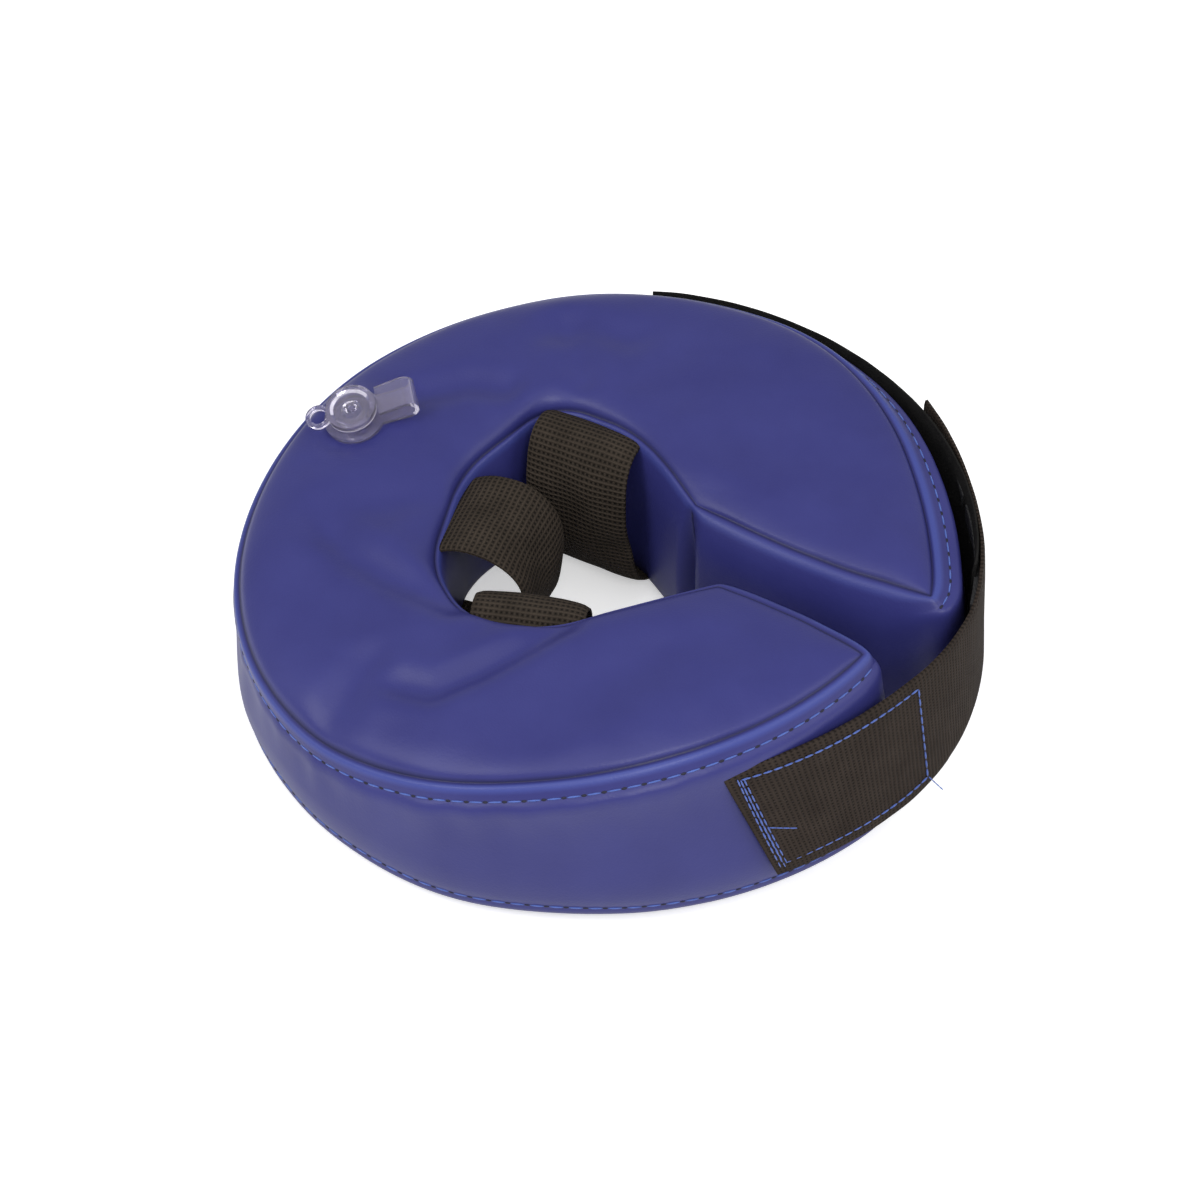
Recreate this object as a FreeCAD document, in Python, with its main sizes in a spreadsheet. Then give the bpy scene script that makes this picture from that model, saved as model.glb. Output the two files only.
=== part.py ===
import FreeCAD, Part
import os
import Sketcher
from math import atan2, cos, degrees, radians, sin, tan

# Inflatable recovery collar: a C-shaped vinyl cushion round an air bladder, closed by a webbing
# strap. Millimetres. +Z is up, the floor is z = 0, the slit points along +X, and the origin is
# on the axis of the ring's outer circle.

os.makedirs("parts", exist_ok=True)
doc = FreeCAD.newDocument("recovery_collar")

# ---------------------------------------------------------------- driving dimensions
DIMENSIONS = [
    ("ring_radius", 99), ("wall_lean", 4), ("ring_height", 54.5), ("top_slope", 4.5),
    ("top_round", 8), ("bottom_round", 4), ("corner_round", 10), ("neck_round", 13),
    ("panel_thick", 1.2), ("film_gap", 0.4), ("seam_drop", 6), ("bottom_seam", 3.2),
    ("mid_radius", 72), ("end_band", 6.5),
    ("loop_hinge_angle", 146), ("strap_hinge_angle", 240),
    ("webbing_width", 30), ("webbing_thick", 1.6), ("loop_reach", 13.5),
    ("loop_bend", 9), ("loop_low", 3), ("loop_high", 44),
    ("strap_low", 13), ("strap_width", 38), ("strap_thick", 1.7), ("anchor_thick", 2.2),
    ("pile_low", 14), ("pile_width", 36), ("pile_thick", 1.2),
    ("hook_low", 17), ("hook_width", 30), ("hook_thick", 1.2),
    ("flange_radius", 8.5), ("flange_thick", 1.2), ("stem_radius", 5), ("bore_radius", 3.2),
    ("stem_depth", 12), ("mouth_height", 2.5), ("cap_radius", 7), ("cap_thick", 2),
    ("plug_top_radius", 2.9), ("plug_tip_radius", 2.3), ("plug_depth", 3.5),
    ("tether_width", 9), ("tether_thick", 1.2), ("flap_radius", 4.6), ("flap_thick", 0.4),
]
sheet = doc.addObject("Spreadsheet::Sheet", "Dimensions")
for row, (alias, value) in enumerate(DIMENSIONS, start=1):
    sheet.set(f"A{row}", alias)
    sheet.set(f"B{row}", str(value))
    sheet.setAlias(f"B{row}", alias)
doc.recompute()
SIZE = {alias: float(sheet.get(alias)) for alias, value in DIMENSIONS}

UP = FreeCAD.Vector(0, 0, 1)
TALL = 90.0      # cutting tools stand higher than the ring
WIDE = 320.0     # and reach past it all round


# ---------------------------------------------------------------- small helpers
def bind(thing, **expressions):
    """Tie properties of an object to cells of the sheet."""
    for prop, cell in expressions.items():
        thing.setExpression(prop, "Dimensions." + cell)
    return thing


def polar(radius, angle, height=0.0):
    turn = radians(angle)
    return FreeCAD.Vector(radius * cos(turn), radius * sin(turn), height)


def closed_lines(points):
    corners = [FreeCAD.Vector(x, y, 0) for x, y in points]
    return [Part.LineSegment(a, b) for a, b in zip(corners, corners[1:] + corners[:1])]


def turned(x, y, z, angle, axis=UP):
    return FreeCAD.Placement(FreeCAD.Vector(x, y, z), FreeCAD.Rotation(axis, angle))


def add_body(name):
    return doc.addObject("PartDesign::Body", name)


def add_sketch(body, name, plane, edges):
    sketch = body.newObject("Sketcher::SketchObject", name)
    origin_plane = [f for f in body.Origin.OriginFeatures if f.Role == plane][0]
    sketch.AttachmentSupport = [(origin_plane, "")]
    sketch.MapMode = "FlatFace"
    sketch.addGeometry(edges, False)
    return sketch


def add_pad(body, sketch, length_cell=None, length=TALL, both_ways=False):
    pad = body.newObject("PartDesign::Pad", sketch.Name + "_pad")
    pad.Profile = sketch
    pad.SideType = "Symmetric" if both_ways else "One side"
    pad.Length = length
    if length_cell:
        bind(pad, Length=length_cell)
    body.Tip = pad
    doc.recompute()
    return pad


def add_turned(body, sketch):
    """A full revolution of the sketch about the body's Z axis."""
    spin = body.newObject("PartDesign::Revolution", sketch.Name + "_turned")
    spin.Profile = sketch
    spin.ReferenceAxis = (sketch, ["V_Axis"])
    spin.Angle = 360
    body.Tip = spin
    return spin


def boolean(kind, name, base, tool):
    thing = doc.addObject("Part::" + kind, name)
    thing.Base = base
    thing.Tool = tool
    return thing


def common(name, *shapes):
    thing = doc.addObject("Part::MultiCommon", name)
    thing.Shapes = list(shapes)
    return thing


def box(name, length, width, height, placement):
    thing = doc.addObject("Part::Box", name)
    thing.Length, thing.Width, thing.Height = length, width, height
    thing.Placement = placement
    return thing


# ---------------------------------------------------------------- outer form of the ring
# The neck hole in plan: a rounded polygon, widest at the back, that narrows to the slit.
LOOP_ARM_CORNER = (18, 14.5)
STRAP_ARM_CORNER = (38, -9.5)
NECK_CORNERS = [(-9, 34), (-34, 38.5), (-45, 8), (-38, -24), (-21, -39.5), (1, -39)]
LOOP_ARM_MOUTH = (140, 9)
STRAP_ARM_MOUTH = (140, -29)

ring_blank = add_body("ring_blank")
rim_sketch = add_sketch(ring_blank, "ring_rim", "XY_Plane", [Part.Circle(
    FreeCAD.Vector(0, 0, 0), UP, SIZE["ring_radius"])])
rim_sketch.addConstraint(Sketcher.Constraint("Coincident", 0, 3, -1, 1))
radius_index = rim_sketch.addConstraint(Sketcher.Constraint("Radius", 0, SIZE["ring_radius"]))
rim_sketch.setExpression(f"Constraints[{radius_index}]", "Dimensions.ring_radius")
solid_blank = add_pad(ring_blank, rim_sketch)
bind(solid_blank, TaperAngle="wall_lean * -1")

void_sketch = add_sketch(ring_blank, "neck_and_slit", "XY_Plane", closed_lines(
    [LOOP_ARM_CORNER] + NECK_CORNERS + [STRAP_ARM_CORNER, STRAP_ARM_MOUTH, LOOP_ARM_MOUTH]))
void_cut = ring_blank.newObject("PartDesign::Pocket", "neck_and_slit_cut")
void_cut.Profile = void_sketch
void_cut.Type = "ThroughAll"
void_cut.Reversed = True
ring_blank.Tip = void_cut
doc.recompute()


def upright_edges(shape, corners):
    """Names of the vertical edges that stand on the given plan points."""
    names = []
    for number, edge in enumerate(shape.Edges, start=1):
        low, high = edge.Vertexes[0].Point, edge.Vertexes[-1].Point
        if abs(low.z - high.z) < 1:
            continue
        if any(abs(end.x - x) + abs(end.y - y) < 0.05 for x, y in corners for end in (low, high)):
            names.append(f"Edge{number}")
    return names


def rim_corner(inner, mouth):
    """Where an end face's line meets the outer circle."""
    heading = atan2(mouth[1] - inner[1], mouth[0] - inner[0])
    along = inner[0] * cos(heading) + inner[1] * sin(heading)
    across = inner[0] ** 2 + inner[1] ** 2 - SIZE["ring_radius"] ** 2
    run = -along + (along ** 2 - across) ** 0.5
    return inner[0] + run * cos(heading), inner[1] + run * sin(heading)


neck_fillet = ring_blank.newObject("PartDesign::Fillet", "neck_fillet")
neck_fillet.Base = (void_cut, upright_edges(void_cut.Shape, NECK_CORNERS))
bind(neck_fillet, Radius="neck_round")
ring_blank.Tip = neck_fillet
doc.recompute()

ARM_CORNERS = [LOOP_ARM_CORNER, STRAP_ARM_CORNER,
               rim_corner(LOOP_ARM_CORNER, LOOP_ARM_MOUTH),
               rim_corner(STRAP_ARM_CORNER, STRAP_ARM_MOUTH)]
arm_fillet = ring_blank.newObject("PartDesign::Fillet", "arm_fillet")
arm_fillet.Base = (neck_fillet, upright_edges(neck_fillet.Shape, ARM_CORNERS))
bind(arm_fillet, Radius="corner_round")
ring_blank.Tip = arm_fillet
doc.recompute()


def above(name, height):
    """Everything above a plane that rises towards the slit and is at `height` on the axis."""
    tilt = turned(0, 0, height, -SIZE["top_slope"], FreeCAD.Vector(0, 1, 0))
    return box(name, WIDE, WIDE, TALL, tilt * turned(-WIDE / 2, -WIDE / 2, 0, 0))


ring_sharp = boolean("Cut", "ring_sharp", ring_blank, above("sky", SIZE["ring_height"]))
doc.recompute()

# The padded edges: large rounds on top, smaller ones underneath.
ring_form = doc.addObject("Part::Fillet", "ring_form")
ring_form.Base = ring_sharp
soft_edges = []
for number, edge in enumerate(ring_sharp.Shape.Edges, start=1):
    box_of_edge = edge.BoundBox
    if box_of_edge.ZMax < 0.01:
        soft_edges.append((number, SIZE["bottom_round"], SIZE["bottom_round"]))
    elif box_of_edge.ZMin > SIZE["ring_height"] / 2:
        soft_edges.append((number, SIZE["top_round"], SIZE["top_round"]))
ring_form.Edges = soft_edges
doc.recompute()


def shrunk(name, cells):
    """The ring's form, smaller by the sum of the named cells on every side."""
    offset = doc.addObject("Part::Offset", name)
    offset.Source = ring_form
    offset.setExpression("Value", "-(" + " + ".join("Dimensions." + c for c in cells) + ")")
    offset.Join = "Arc"
    return offset


cover_inside = shrunk("cover_inside", ["panel_thick"])
bladder_form = shrunk("bladder_form", ["panel_thick", "film_gap"])
cover = boolean("Cut", "cover", ring_form, cover_inside)
doc.recompute()

# ---------------------------------------------------------------- cutting the cover into panels
LOOP_HINGE = SIZE["loop_hinge_angle"]
STRAP_HINGE = SIZE["strap_hinge_angle"]
SECTORS = {"back": (LOOP_HINGE, STRAP_HINGE - LOOP_HINGE),
           "loop_arm": (0.0, LOOP_HINGE),
           "strap_arm": (STRAP_HINGE, 360.0 - STRAP_HINGE)}

top_zone = above("top_zone", SIZE["ring_height"] - SIZE["seam_drop"])
bottom_zone = box("bottom_zone", WIDE, WIDE, TALL, turned(-WIDE / 2, -WIDE / 2, -TALL, 0))
bottom_zone.setExpression("Placement.Base.z", "Dimensions.bottom_seam - 90")
neck_zone = doc.addObject("Part::Cylinder", "neck_zone")
bind(neck_zone, Radius="mid_radius").Height = TALL


def end_zone(name, corner, mouth, side):
    """A slab along an end face; `side` is +1 where the arm lies to the left of the face's line."""
    heading = degrees(atan2(mouth[1] - corner[1], mouth[0] - corner[0]))
    depth = SIZE["end_band"]
    start = -2.0 if side > 0 else -depth
    place = turned(corner[0], corner[1], -1, heading) * turned(-30, start, 0, 0)
    return box(name, WIDE / 2, depth + 2.0, TALL, place)


END_ZONES = {"loop_arm": end_zone("loop_end_zone", LOOP_ARM_CORNER, LOOP_ARM_MOUTH, 1),
             "strap_arm": end_zone("strap_end_zone", STRAP_ARM_CORNER, STRAP_ARM_MOUTH, -1)}
walls = boolean("Cut", "walls", boolean("Cut", "cover_below", cover, top_zone), bottom_zone)

PARTS = {}
for sector, (start, sweep) in SECTORS.items():
    wedge = doc.addObject("Part::Cylinder", sector + "_wedge")
    wedge.Radius, wedge.Height, wedge.Angle = WIDE / 2, TALL, sweep
    wedge.Placement = turned(0, 0, -1, start)
    PARTS["top_panel_" + sector] = common("top_" + sector, cover, top_zone, wedge)
    PARTS["bottom_panel_" + sector] = common("bottom_" + sector, cover, bottom_zone, wedge)
    PARTS["air_bladder_" + sector] = common("bladder_" + sector, bladder_form, wedge)
    band = common("band_" + sector, walls, wedge)
    if sector in END_ZONES:
        PARTS["end_panel_" + sector] = common("end_" + sector, band, END_ZONES[sector])
        band = boolean("Cut", "side_band_" + sector, band, END_ZONES[sector])
    PARTS["outer_wall_" + sector] = boolean("Cut", "outer_" + sector, band, neck_zone)
    PARTS["inner_wall_" + sector] = common("inner_" + sector, band, neck_zone)


# ---------------------------------------------------------------- webbing loops in the neck hole
def webbing_loop(name, x, y, facing):
    """A strip that arches off the neck wall from the bottom seam to the top one."""
    reach, bend, thick = SIZE["loop_reach"], SIZE["loop_bend"], SIZE["webbing_thick"]
    low, high, root = SIZE["loop_low"], SIZE["loop_high"], -14.0
    point = FreeCAD.Vector
    edges = []
    for inset in (0.0, thick):
        side, bottom, top = reach - inset, low + inset, high - inset
        turn = bend - inset
        diagonal = turn * (1 - cos(radians(45)))
        edges += [
            Part.LineSegment(point(root, bottom, 0), point(side - turn, bottom, 0)),
            Part.Arc(point(side - turn, bottom, 0), point(side - diagonal, bottom + diagonal, 0),
                     point(side, bottom + turn, 0)),
            Part.LineSegment(point(side, bottom + turn, 0), point(side, top - turn, 0)),
            Part.Arc(point(side, top - turn, 0), point(side - diagonal, top - diagonal, 0),
                     point(side - turn, top, 0)),
            Part.LineSegment(point(side - turn, top, 0), point(root, top, 0)),
        ]
    edges.append(Part.LineSegment(point(root, low, 0), point(root, low + thick, 0)))
    edges.append(Part.LineSegment(point(root, high, 0), point(root, high - thick, 0)))
    strip = add_body(name + "_strip")
    add_pad(strip, add_sketch(strip, name + "_outline", "XZ_Plane", edges),
            "webbing_width", both_ways=True)
    strip.Placement = turned(x, y, 0, facing)
    PARTS[name] = boolean("Cut", name + "_trimmed", strip, ring_form)


webbing_loop("back_loop", -21.5, 36.2, -100)
webbing_loop("side_loop", -42.6, -3, 12)
webbing_loop("front_loop", -9, -39.2, 90)


# ---------------------------------------------------------------- straps round the outside
def wall_radius(height):
    return SIZE["ring_radius"] - height * tan(radians(SIZE["wall_lean"]))


def wall_strip(name, off_wall, thick, low, width_cell, start, end):
    """A strip that lies `off_wall` mm outside the leaning wall, between two compass angles."""
    cones = []
    for layer, extra in (("outside", thick), ("inside", 0.0)):
        cone = doc.addObject("Part::Cone", f"{name}_{layer}")
        cone.Radius1 = wall_radius(low) + off_wall + extra
        cone.Radius2 = wall_radius(low + SIZE[width_cell]) + off_wall + extra
        cone.Angle = end - start
        bind(cone, Height=width_cell)
        cone.Placement = turned(0, 0, low, start)
        cones.append(cone)
    PARTS[name] = boolean("Cut", name + "_strip", *cones)
    return PARTS[name]


STRAP_LOW, HOOK_LOW, PILE_LOW = SIZE["strap_low"], SIZE["hook_low"], SIZE["pile_low"]
STRAP, HOOK, PILE = SIZE["strap_thick"], SIZE["hook_thick"], SIZE["pile_thick"]
OVER_HOOK = PILE + 0.4
OVER_STRAP = OVER_HOOK + HOOK
wall_strip("strap_anchor", 0, SIZE["anchor_thick"], STRAP_LOW, "strap_width", -43, -16)
for piece, start, end in (("closure_strap_1", -16, 10), ("closure_strap_2", 10, 34),
                          ("closure_strap_3", 34, 55)):
    wall_strip(piece, OVER_STRAP, STRAP, STRAP_LOW, "strap_width", start, end)
wall_strip("hook_strip_2", OVER_HOOK, HOOK, HOOK_LOW, "hook_width", 11, 33)
wall_strip("hook_strip_3", OVER_HOOK, HOOK, HOOK_LOW, "hook_width", 35, 47)
wall_strip("pile_strip", 0, PILE, PILE_LOW, "pile_width", 17, 107)

# The free end stands off the pile: its length is turned outwards about its near end.
STAND_OFF = 3.5
near_end = polar(wall_radius(STRAP_LOW) + OVER_STRAP + STRAP, 34)
outwards = FreeCAD.Placement(FreeCAD.Vector(), FreeCAD.Rotation(UP, -STAND_OFF), near_end)
for piece in ("closure_strap_3", "hook_strip_3"):
    PARTS[piece].Placement = outwards

# ---------------------------------------------------------------- inflation valve
# Modelled about its own axis with the flange's top at z = 0, then leant over on the top panel.
VALVE_X, VALVE_Y = -81.5, 11.0
VALVE_LEAN, LEAN_TOWARDS, TETHER_HEADING = 18.0, -100.0, 35.0
lean_axis = polar(1.0, LEAN_TOWARDS + 90)
flange_drop = SIZE["flange_radius"] * sin(radians(VALVE_LEAN)) + SIZE["flange_thick"]
panel_height = SIZE["ring_height"] + VALVE_X * sin(radians(SIZE["top_slope"]))
valve_place = (turned(VALVE_X, VALVE_Y, panel_height + flange_drop + 0.4, VALVE_LEAN, lean_axis)
               * turned(0, 0, 0, TETHER_HEADING))


def valve_body(name, sketch_edges):
    body = add_body(name)
    sketch = add_sketch(body, name + "_profile", "XZ_Plane", sketch_edges)
    body.Placement = valve_place
    return body, sketch


def turned_profile(name, points):
    body, sketch = valve_body(name, closed_lines(points))
    add_turned(body, sketch)
    return body


BORE, STEM = SIZE["bore_radius"], SIZE["stem_radius"]
FLANGE, FLANGE_LOW = SIZE["flange_radius"], -SIZE["flange_thick"]
MOUTH, DEPTH = SIZE["mouth_height"], -SIZE["stem_depth"]
stem = turned_profile("valve_stem", [
    (BORE, DEPTH), (STEM, DEPTH), (STEM, FLANGE_LOW), (FLANGE, FLANGE_LOW), (FLANGE, 0),
    (STEM, 0), (STEM, MOUTH), (BORE, MOUTH)])

# The tether leaves the flange, curls back over itself and ends on the plug's cap.
CAP_LOW = MOUTH + 0.4
CAP_HIGH = CAP_LOW + SIZE["cap_thick"]
TETHER_END = FreeCAD.Vector(15, CAP_LOW + 1.6, 0)
TETHER_TOP = TETHER_END + FreeCAD.Vector(0, SIZE["tether_thick"], 0)
curl_inner = FreeCAD.Vector(17.0, 2.2, 0)
curl_outer = FreeCAD.Vector(18.2, 2.2, 0)
leg_inner = FreeCAD.Vector(14.2, 0, 0)
leg_outer = FreeCAD.Vector(14.2, FLANGE_LOW, 0)
in_flange_high = FreeCAD.Vector(FLANGE - 2, 0, 0)
in_flange_low = FreeCAD.Vector(FLANGE - 2, FLANGE_LOW, 0)
curl, curl_sketch = valve_body("tether_curl", [
    Part.LineSegment(in_flange_high, leg_inner), Part.Arc(leg_inner, curl_inner, TETHER_END),
    Part.LineSegment(TETHER_END, TETHER_TOP), Part.Arc(TETHER_TOP, curl_outer, leg_outer),
    Part.LineSegment(leg_outer, in_flange_low), Part.LineSegment(in_flange_low, in_flange_high)])
add_pad(curl, curl_sketch, "tether_width", both_ways=True)
PARTS["valve_base"] = boolean("Fuse", "valve_moulding", stem, curl)

link_start = FreeCAD.Vector(SIZE["cap_radius"] + 0.3, CAP_LOW + 0.3, 0)
link_top = link_start + FreeCAD.Vector(0, SIZE["tether_thick"], 0)
tether, tether_sketch = valve_body("tether_link", [
    Part.LineSegment(link_start, TETHER_END), Part.LineSegment(TETHER_END, TETHER_TOP),
    Part.LineSegment(TETHER_TOP, link_top), Part.LineSegment(link_top, link_start)])
add_pad(tether, tether_sketch, "tether_width", both_ways=True)
PARTS["valve_tether"] = tether

# The plug: a tapered peg under a dished cap with a nub in its middle, and a pull loop.
TIP = CAP_LOW - SIZE["plug_depth"]
CAP = SIZE["cap_radius"]
peg = turned_profile("plug_peg", [
    (0, TIP), (SIZE["plug_tip_radius"], TIP), (SIZE["plug_top_radius"], CAP_LOW),
    (CAP, CAP_LOW), (CAP, CAP_HIGH), (CAP - 1.3, CAP_HIGH), (CAP - 2, CAP_HIGH - 0.9),
    (1.7, CAP_HIGH - 0.9), (1.2, CAP_HIGH), (0, CAP_HIGH)])
pull = add_body("pull_loop")
pull_sketch = add_sketch(pull, "pull_outline", "XY_Plane", [
    Part.Circle(FreeCAD.Vector(-9.2, 0, 0), UP, 3.6), Part.Circle(FreeCAD.Vector(-9.2, 0, 0), UP, 2.4)])
add_pad(pull, pull_sketch, length=1.2)
pull.Placement = valve_place * turned(0, 0, CAP_LOW + 0.4, 0)
PARTS["valve_plug"] = boolean("Fuse", "plug_moulding", peg, pull)

flap = doc.addObject("Part::Cylinder", "valve_disc")
bind(flap, Radius="flap_radius", Height="flap_thick")
flap.Placement = valve_place * turned(0, 0, DEPTH - SIZE["flap_thick"], 0)
PARTS["valve_flap"] = flap

stem_hole = doc.addObject("Part::Cylinder", "stem_hole")
stem_hole.Radius = STEM + 0.15
stem_hole.Height = SIZE["stem_depth"] + 3
stem_hole.Placement = valve_place * turned(0, 0, DEPTH - 1, 0)
for name in ("top_panel_back", "air_bladder_back"):
    PARTS[name] = boolean("Cut", name + "_pierced", PARTS[name], stem_hole)

# ---------------------------------------------------------------- check and write
doc.recompute()
for thing in doc.Objects:
    if "Invalid" in thing.State or "Error" in thing.State:
        raise RuntimeError(f"{thing.Name} failed: {thing.State}")
for name, thing in PARTS.items():
    thing.Label = name
    if thing.Shape.isNull() or not thing.Shape.isValid() or not thing.Shape.Solids:
        raise RuntimeError(f"{name} has no sound solid")
    print(f"{name:26s} {len(thing.Shape.Solids)} solid  {thing.Shape.Volume:10.0f} mm3")
for name, thing in PARTS.items():
    thing.Shape.exportStep(f"parts/{name}.step")
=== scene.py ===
from functools import lru_cache
from math import atan2, cos, degrees, exp, hypot, pi, radians, sin, tan, tau
import bpy
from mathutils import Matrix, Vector, noise


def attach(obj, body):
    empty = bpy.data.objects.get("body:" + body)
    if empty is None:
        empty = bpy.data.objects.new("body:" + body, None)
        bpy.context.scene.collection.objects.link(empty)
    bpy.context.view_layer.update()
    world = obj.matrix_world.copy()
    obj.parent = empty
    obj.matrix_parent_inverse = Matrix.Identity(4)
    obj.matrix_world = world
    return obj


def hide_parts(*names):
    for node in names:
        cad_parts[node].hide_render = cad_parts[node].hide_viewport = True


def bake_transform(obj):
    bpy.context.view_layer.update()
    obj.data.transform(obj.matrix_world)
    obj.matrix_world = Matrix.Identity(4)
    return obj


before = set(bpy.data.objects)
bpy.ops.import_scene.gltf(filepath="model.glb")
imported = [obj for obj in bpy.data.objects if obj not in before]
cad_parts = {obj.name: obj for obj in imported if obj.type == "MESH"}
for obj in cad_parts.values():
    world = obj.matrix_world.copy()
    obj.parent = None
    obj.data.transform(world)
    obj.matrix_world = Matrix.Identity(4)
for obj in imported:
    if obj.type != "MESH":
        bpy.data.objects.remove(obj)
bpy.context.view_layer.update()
MM = 0.001
bpy.ops.object.select_all(action="DESELECT")

# ---------------------------------------------------------------------------------------------
# Studio: a plain pale table, a big soft lamp overhead, three smaller ones round it and a long
# lens that looks down at the slit from in front. None of it belongs to the collar.
VIEW_TURN = radians(24.5)
VIEW_TILT = radians(46.0)
VIEW_DISTANCE = 0.9
aim = Vector((0, 0, 0.025))
back_off = Vector((sin(VIEW_TURN) * cos(VIEW_TILT), -cos(VIEW_TURN) * cos(VIEW_TILT), sin(VIEW_TILT)))
bpy.ops.object.camera_add(location=aim + VIEW_DISTANCE * back_off,
                          rotation=(pi / 2 - VIEW_TILT, 0, VIEW_TURN))
camera = bpy.context.object
camera.data.lens = 99.6
camera.data.sensor_width = 36
camera.data.shift_x = -0.0067
camera.data.clip_start = 0.01
bpy.context.scene.camera = camera
bpy.context.scene.view_settings.view_transform = "Standard"


def new_material(name):
    """An empty node material and its Principled shader, wired to the output."""
    material = bpy.data.materials.new(name)
    material.use_nodes = True
    nodes, links = material.node_tree.nodes, material.node_tree.links
    return material, nodes, links, nodes["Principled BSDF"]


bpy.ops.mesh.primitive_plane_add(size=6, location=(0, 0, 0))
table = bpy.context.object
table.name = "table_top"
table_paint, nodes, links, shader = new_material("table_paint")
mottle = nodes.new("ShaderNodeTexNoise")
mottle.inputs["Scale"].default_value = 3
tint = nodes.new("ShaderNodeMix")
tint.data_type = "RGBA"
tint.inputs["A"].default_value = (0.93, 0.93, 0.93, 1)
tint.inputs["B"].default_value = (0.96, 0.96, 0.96, 1)
links.new(mottle.outputs["Fac"], tint.inputs["Factor"])
links.new(tint.outputs["Result"], shader.inputs["Base Color"])
shader.inputs["Roughness"].default_value = 0.8
seen = nodes.new("ShaderNodeLightPath")
glow = nodes.new("ShaderNodeMath")           # keeps the table as pale as the walls to the camera
glow.operation = "MULTIPLY"
glow.inputs[1].default_value = 0.45
links.new(seen.outputs["Is Camera Ray"], glow.inputs[0])
shader.inputs["Emission Color"].default_value = (1, 1, 1, 1)
links.new(glow.outputs[0], shader.inputs["Emission Strength"])
table.data.materials.append(table_paint)


def soft_lamp(name, turn, tilt, distance, size, watts):
    """A square soft box that points at the collar from a compass turn and a height angle."""
    away = Vector((sin(turn) * cos(tilt), -cos(turn) * cos(tilt), sin(tilt)))
    bpy.ops.object.light_add(type="AREA", location=aim + distance * away)
    lamp = bpy.context.object
    lamp.name = name
    lamp.data.size = size
    lamp.data.energy = watts
    lamp.rotation_euler = away.to_track_quat("Z", "Y").to_euler()


soft_lamp("soft_box_overhead", VIEW_TURN + radians(-35), radians(72), 1.1, 1.0, 3.0)
soft_lamp("soft_box_left", VIEW_TURN + radians(-70), radians(42), 1.2, 0.6, 4.0)
soft_lamp("soft_box_right", VIEW_TURN + radians(75), radians(35), 1.2, 0.8, 3.2)
soft_lamp("soft_box_front", VIEW_TURN + radians(12), radians(46), 1.3, 0.5, 5.5)
world = bpy.data.worlds.new("studio_walls")
bpy.context.scene.world = world
world.use_nodes = True
nodes, links = world.node_tree.nodes, world.node_tree.links
path = nodes.new("ShaderNodeLightPath")
pale = nodes.new("ShaderNodeMath")
pale.operation = "MAXIMUM"
links.new(path.outputs["Is Camera Ray"], pale.inputs[0])
links.new(path.outputs["Is Transmission Ray"], pale.inputs[1])
level = nodes.new("ShaderNodeMapRange")
level.inputs["To Min"].default_value = 0.5
level.inputs["To Max"].default_value = 1.0
links.new(pale.outputs[0], level.inputs["Value"])
links.new(level.outputs["Result"], nodes["Background"].inputs["Strength"])
nodes["Background"].inputs["Color"].default_value = (1, 1, 1, 1)

# ---------------------------------------------------------------------------------------------
# Cover: blue vinyl cloth cut as a top and a bottom panel with bands between them, sewn inside
# out and turned. The top seam is a groove with painted shade; round the outside the band's edge is folded
# over into a hem and top-stitched. The air inside puffs each panel out between its seams.
NECK = [(38, -9.5), (1, -39), (-21, -39.5), (-38, -24), (-45, 8), (-34, 38.5), (-9, 34), (18, 14.5)]
STRAP_CORNER_TURN, LOOP_CORNER_TURN = -12.2, 6.4       # degrees, where the rim meets the slit
NECK_INSET = 3.0                             # from the wall of the hole to its seam, mm
BOTTOM_INSET = 5.0                           # from the widest wall to the bottom seam, mm
RIM_LENGTH, NECK_RUN = 560, 250              # lengths round the rim and round the hole, mm
END_RUN = 60                                 # length of an arm's end, from the hole to the rim, mm
HOLE_RADIUS, RING_WIDTH = 24, 70             # rough ones, to turn a share of the ring into mm
RING_TURN = tau * 0.93                       # how much of a full turn the cushion fills
ROWS, COLUMNS = 260, 30                      # of the cover's grid, round the ring and across it
NECK_ROUNDING = 10.0                         # how far from a corner the hole starts to turn, mm
CORNER_RADIUS, SEAM_TURN_IN = 96, 2.0        # of the arms' outer corners, and degrees in from them
SPLIT_SHARE = 0.46                           # the two halves meet here, between the flex lines

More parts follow.
